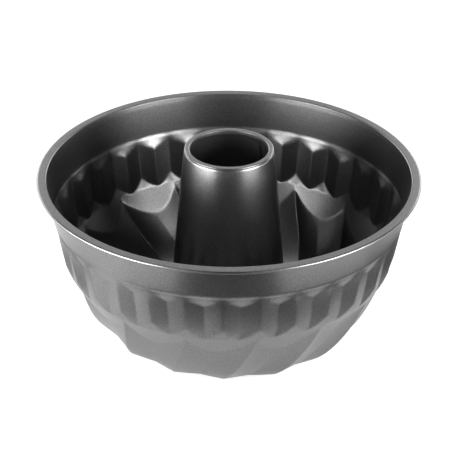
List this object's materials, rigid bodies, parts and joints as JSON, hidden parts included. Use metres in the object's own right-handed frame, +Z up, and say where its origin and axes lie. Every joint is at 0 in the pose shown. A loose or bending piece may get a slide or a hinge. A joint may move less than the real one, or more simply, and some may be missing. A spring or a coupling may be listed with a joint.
{
  "type": "babka pan",
  "caption": "Round babka pan of coated sheet steel: a plain collar with a rolled rim over short flutes and twisted petals, and a tall conical centre tube.",
  "frame": {"origin": "on the pan's axis, at the level of the resting ring under the base", "axes": "+Z up along the pan's axis, out of the open mouth; the petals are spaced evenly round it, so X and Y are free"},
  "size_m": [0.24, 0.24, 0.1257],
  "materials": {
    "shell_coated_steel": "dark grey non-stick coating on pressed steel, fine orange peel, satin",
    "tube_coated_steel": "dark grey non-stick coating on drawn steel, fine orange peel, satin"
  },
  "bodies": {
    "root": {"mould_shell": "shell_coated_steel", "centre_tube": "tube_coated_steel"}
  },
  "joints": []
}
